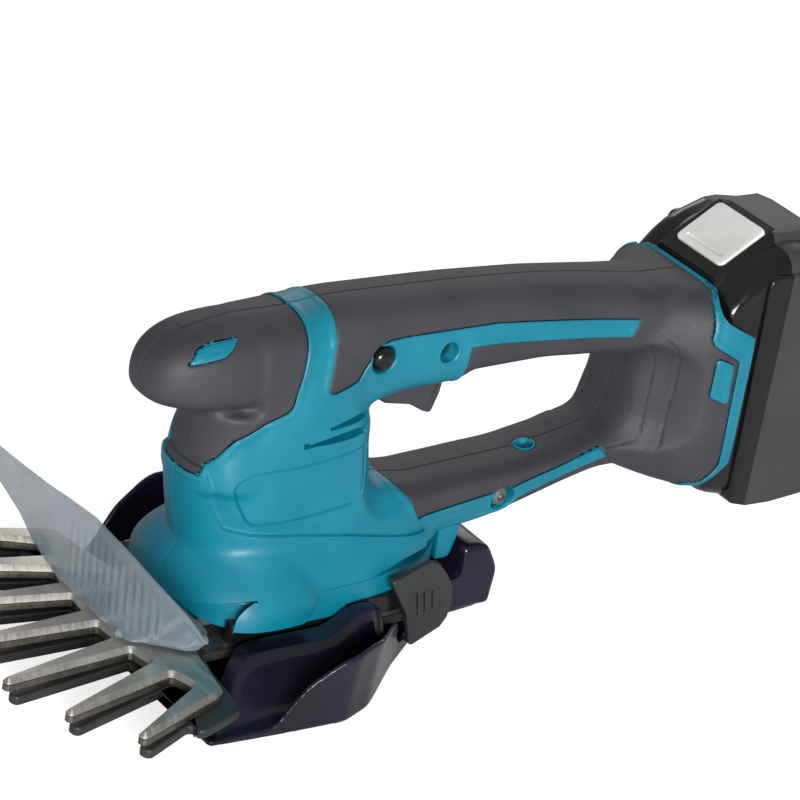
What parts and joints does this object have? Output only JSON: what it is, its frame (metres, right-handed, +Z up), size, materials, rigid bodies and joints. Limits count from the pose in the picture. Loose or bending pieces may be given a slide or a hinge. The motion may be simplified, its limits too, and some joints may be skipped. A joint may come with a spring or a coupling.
{
  "type": "cordless grass shear",
  "caption": "Cordless D-handled shear with a fan of scissor teeth over blunt guard fingers, a clear scoop, a height skirt and a slide-down battery.",
  "frame": {"origin": "under the middle of the tool, on the plane that the height skirt stands on", "axes": "-X to the blades, -Y to the tool's left, +Z up"},
  "size_m": [0.354, 0.1566, 0.141],
  "materials": {
    "teal_plastic": "satin moulded",
    "soft_grip": "matt overmould",
    "gloss_black": "gloss moulded",
    "dark_plastic": "semi-gloss moulded",
    "steel": "ground",
    "skirt_plastic": "gloss moulded, smoky",
    "clear_plastic": "clear moulded plastic",
    "white_plastic": "satin moulded"
  },
  "bodies": {
    "housing": {"left_housing": "teal_plastic", "right_housing": "teal_plastic", "knob_inlay": "teal_plastic", "left_front_grip": "soft_grip", "right_front_grip": "soft_grip", "left_rear_grip": "soft_grip", "right_rear_grip": "soft_grip", "blade_guard": "dark_plastic", "gear_case": "dark_plastic", "under_cover": "dark_plastic", "switch_module": "dark_plastic", "terminal_block": "dark_plastic", "lower_blade": "steel", "blade_pivot_pin": "steel", "cover_screw_1": "steel", "cover_screw_2": "steel", "cover_screw_3": "steel", "cover_screw_4": "steel", "motor_can": "steel", "crank_bearing": "steel", "trigger_pin": "steel", "handle_screw": "steel", "bar_screw": "steel"},
    "rotor": {"motor_shaft": "steel", "motor_pinion": "steel"},
    "crank": {"crank_gear": "steel"},
    "shear": {"upper_blade": "steel"},
    "trigger": {"trigger": "soft_grip"},
    "lock_off": {"lock_off_button": "gloss_black"},
    "battery": {"battery_front_shell": "gloss_black", "battery_rear_shell": "gloss_black"},
    "battery_release": {"battery_button": "white_plastic"},
    "skirt": {"height_skirt": "skirt_plastic"},
    "left_clip": {"left_height_clip": "dark_plastic"},
    "right_clip": {"right_height_clip": "dark_plastic"},
    "scoop": {"grass_scoop": "clear_plastic"}
  },
  "joints": [
    {"name": "motor_spin", "type": "hinge", "parent": "housing", "child": "rotor", "pos_m": [-0.071, 0, 0.035], "axis": [0, 0, 1], "continuous": true},
    {"name": "crank_spin", "type": "hinge", "parent": "housing", "child": "crank", "pos_m": [-0.051, 0, 0.026], "axis": [0, 0, 1], "continuous": true},
    {"name": "blade_swing", "type": "hinge", "parent": "housing", "child": "shear", "pos_m": [0.007, 0, 0.0183], "axis": [0, 0, 1], "range_deg": [-2.2, 2.2]},
    {"name": "trigger_pull", "type": "hinge", "parent": "housing", "child": "trigger", "pos_m": [-0.019, 0, 0.0975], "axis": [0, -1, 0], "range_deg": [0, 8], "stiffness_Nm_per_rad": 0.4, "springref_deg": -5.73},
    {"name": "lock_off_press", "type": "slide", "parent": "housing", "child": "lock_off", "axis": [0, 1, 0], "range_m": [0, 0.003], "stiffness_N_per_m": 600, "springref_m": -0.001},
    {"name": "battery_slide", "type": "slide", "parent": "housing", "child": "battery", "axis": [0, 0, 1], "range_m": [0, 0.12]},
    {"name": "battery_release_slide", "type": "slide", "parent": "battery", "child": "battery_release", "axis": [0.8545, 0, 0.5195], "range_m": [0, 0.0035], "stiffness_N_per_m": 800, "springref_m": -0.001},
    {"name": "skirt_height", "type": "slide", "parent": "housing", "child": "skirt", "axis": [0, 0, 1], "range_m": [-0.004, 0.004]},
    {"name": "left_clip_press", "type": "slide", "parent": "skirt", "child": "left_clip", "axis": [0, 1, 0], "range_m": [0, 0.002], "stiffness_N_per_m": 600, "springref_m": -0.001},
    {"name": "right_clip_press", "type": "slide", "parent": "skirt", "child": "right_clip", "axis": [0, -1, 0], "range_m": [0, 0.002], "stiffness_N_per_m": 600, "springref_m": -0.001},
    {"name": "scoop_slide", "type": "slide", "parent": "housing", "child": "scoop", "axis": [-1, 0, 0], "range_m": [0, 0.06]}
  ],
  "couplings": [
    {"joint": "motor_spin", "follows": "crank_spin", "ratio": -4}
  ]
}
